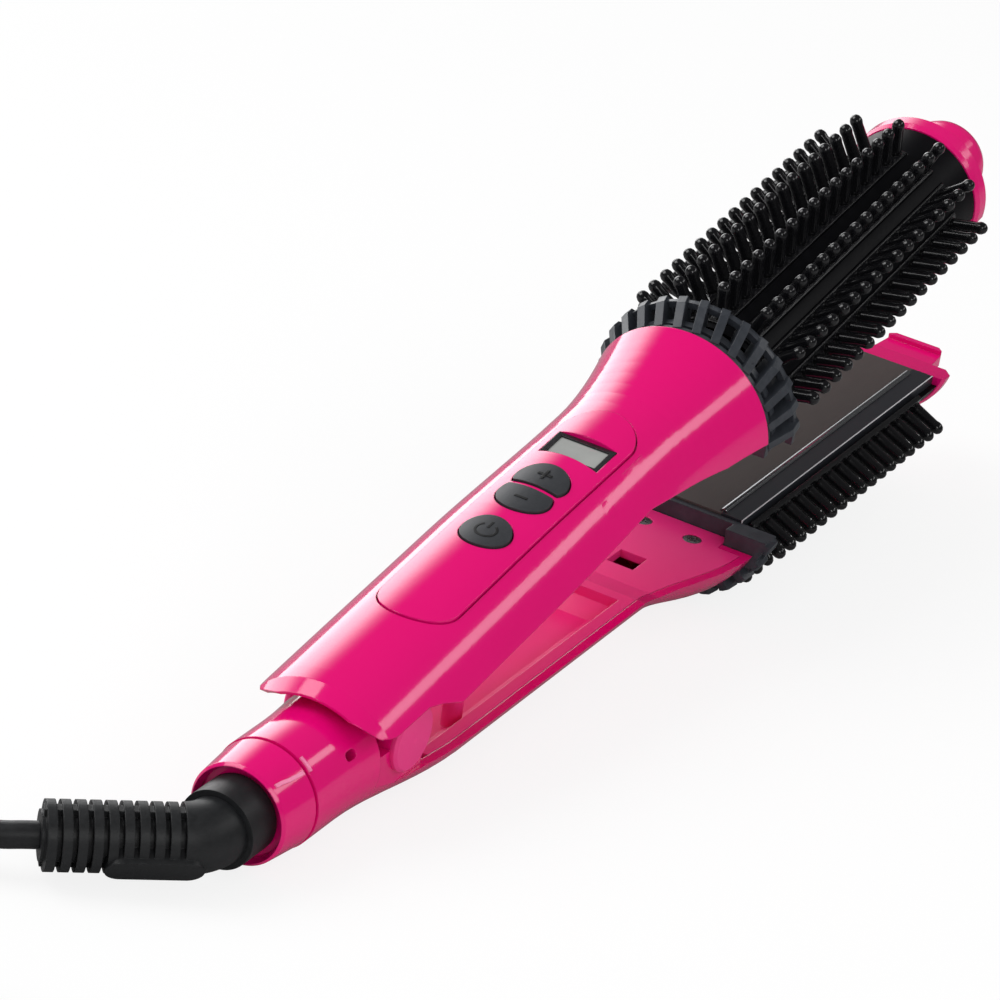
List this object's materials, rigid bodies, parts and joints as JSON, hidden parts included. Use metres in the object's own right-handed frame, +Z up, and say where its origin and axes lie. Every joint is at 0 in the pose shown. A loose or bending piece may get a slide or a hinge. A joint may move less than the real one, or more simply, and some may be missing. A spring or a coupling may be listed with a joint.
{
  "type": "hair straightening brush",
  "caption": "Two-arm hair straightener inside a round hot brush, with hinged heated plates, control buttons, cool tips and a swivel cord.",
  "frame": {"origin": "under the middle of the brush's body, on the surface that it rests on", "axes": "+X from the tail towards the brush's tip, +Y to the left, +Z up"},
  "size_m": [0.4938, 0.0879, 0.0982],
  "materials": {
    "pink_shell": "gloss",
    "dark_plastic": "satin",
    "black_brush": "satin",
    "black_cord": "matte",
    "heated_plate": "satin",
    "bright_steel": "polished",
    "steel": "satin",
    "ceramic": "matte",
    "lcd": "gloss",
    "electronics": "matte",
    "brass": "satin"
  },
  "bodies": {
    "lower_arm": {"lower_handle_shell": "pink_shell", "lower_handle_cover": "pink_shell", "deck_screws": "steel", "tail_housing": "pink_shell", "hinge_pin": "steel", "hinge_covers": "pink_shell", "arm_spring": "steel", "lower_heat_guard": "dark_plastic", "lower_barrel": "black_brush", "lower_bristles": "black_brush", "lower_plate": "heated_plate", "plate_rails": "bright_steel", "lower_heater": "ceramic", "lower_thermal_fuse": "ceramic", "lower_end_cap": "pink_shell", "cap_screw": "steel", "slip_contacts": "brass"},
    "upper_arm": {"upper_handle_shell": "pink_shell", "upper_handle_base": "pink_shell", "latch_hook": "pink_shell", "base_screws": "steel", "control_panel": "pink_shell", "display_bezel": "dark_plastic", "display_window": "lcd", "lcd_module": "electronics", "control_board": "electronics", "tact_switches": "black_cord", "upper_heat_guard": "dark_plastic", "upper_barrel": "black_brush", "upper_bristles": "black_brush", "upper_plate": "heated_plate", "upper_heater": "ceramic", "upper_thermal_fuse": "ceramic", "upper_end_rim": "pink_shell", "cool_tip": "pink_shell"},
    "button_plus": {"button_plus": "dark_plastic"},
    "button_minus": {"button_minus": "dark_plastic"},
    "button_power": {"button_power": "dark_plastic"},
    "lock_ring": {"lock_ring": "pink_shell"},
    "cord_swivel": {"swivel_collar": "black_cord", "strain_relief": "black_cord", "cord_run": "black_cord", "cord_coil": "black_cord", "plug_lead": "black_cord", "cord_tie": "black_cord", "plug_body": "black_cord", "plug_pins": "steel"}
  },
  "joints": [
    {"name": "arm_hinge", "type": "hinge", "parent": "lower_arm", "child": "upper_arm", "pos_m": [-0.1138, 0, 0.0174], "axis": [0, 1, 0], "range_deg": [0, 9.5], "stiffness_Nm_per_rad": 0.5, "springref_deg": -57.3},
    {"name": "plus_press", "type": "slide", "parent": "upper_arm", "child": "button_plus", "axis": [0.2395, 0, -0.9709], "range_m": [0, 0.0006], "stiffness_N_per_m": 900, "springref_m": -0.0004},
    {"name": "minus_press", "type": "slide", "parent": "upper_arm", "child": "button_minus", "axis": [0.2395, 0, -0.9709], "range_m": [0, 0.0006], "stiffness_N_per_m": 900, "springref_m": -0.0004},
    {"name": "power_press", "type": "slide", "parent": "upper_arm", "child": "button_power", "axis": [0.2395, 0, -0.9709], "range_m": [0, 0.0006], "stiffness_N_per_m": 900, "springref_m": -0.0004},
    {"name": "lock_turn", "type": "hinge", "parent": "lower_arm", "child": "lock_ring", "pos_m": [-0.15276, 0, 0.01142], "axis": [0.9971, 0, 0.076], "range_deg": [0, 35]},
    {"name": "cord_swivel_turn", "type": "hinge", "parent": "lower_arm", "child": "cord_swivel", "pos_m": [-0.16073, 0, 0.01082], "axis": [0.9971, 0, 0.076], "continuous": true}
  ]
}
